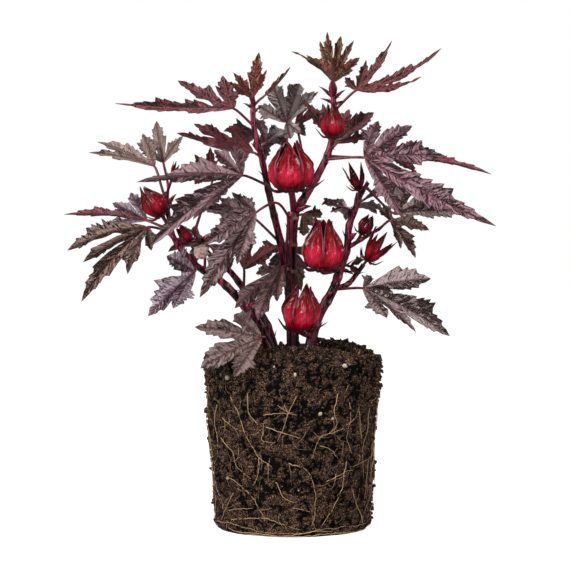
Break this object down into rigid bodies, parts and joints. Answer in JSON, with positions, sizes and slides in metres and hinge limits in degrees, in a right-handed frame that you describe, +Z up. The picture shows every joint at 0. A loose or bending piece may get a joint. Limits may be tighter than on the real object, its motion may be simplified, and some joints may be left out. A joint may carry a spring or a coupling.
{
  "type": "cranberry hibiscus plant on its bare root ball",
  "caption": "Dark-leaved cranberry hibiscus with red calyces on a bare, pot-shaped root ball that stands on its flat base.",
  "frame": {"origin": "centre of the root ball's flat underside, on the surface that it stands on", "axes": "+Z up along the plant's height; -Y towards the viewer, whose side the calyces face; +X to the viewer's right"},
  "size_m": [0.3849, 0.2025, 0.4458],
  "materials": {
    "soil": "matte",
    "stem": "satin",
    "leaf": "satin",
    "leaf_maroon": "satin",
    "leaf_young": "satin",
    "calyx": "gloss",
    "calyx_dark": "gloss",
    "bloom": "matte"
  },
  "bodies": {
    "root": {"root_ball": "soil", "stem_centre": "stem", "stem_right": "stem", "stem_low_left": "stem", "stem_behind_left": "stem", "leaf_top_left": "leaf_maroon", "leaf_shoot_left": "leaf_young", "leaf_shoot_right": "leaf_young", "leaf_left_maroon": "leaf_maroon", "leaf_behind_leader": "leaf", "leaf_top_centre": "leaf", "leaf_centre_back": "leaf_maroon", "leaf_tip_back": "leaf_young", "leaf_tip_front": "leaf_young", "leaf_top_right": "leaf_maroon", "leaf_behind_calyx": "leaf_maroon", "leaf_right_big": "leaf", "leaf_right_red": "leaf_maroon", "leaf_right_olive": "leaf", "leaf_right_small": "leaf", "leaf_right_low": "leaf", "leaf_far_left": "leaf", "leaf_far_left_back": "leaf", "leaf_left_mid": "leaf", "leaf_left_low": "leaf", "leaf_low_left": "leaf", "leaf_centre_left_big": "leaf", "leaf_behind_big_left": "leaf_maroon", "leaf_inner_left": "leaf", "leaf_drooping": "leaf", "leaf_red_inner": "leaf_maroon", "leaf_centre_low": "leaf", "leaf_over_rim": "leaf", "leaf_small_grey": "leaf", "leaf_round_olive": "leaf_young", "leaf_small_dark": "leaf", "leaf_back_left": "leaf", "leaf_back_right": "leaf", "leaf_back_high": "leaf", "leaf_back_low": "leaf", "calyx_centre": "calyx", "calyx_mid_right": "calyx", "calyx_low": "calyx", "calyx_top": "calyx_dark", "calyx_left": "calyx", "calyx_open": "calyx", "calyx_dark": "calyx_dark", "calyx_small_right": "calyx_dark", "calyx_bud_left": "calyx", "calyx_bud_far_left": "calyx", "bloom_spent": "bloom"}
  },
  "joints": []
}
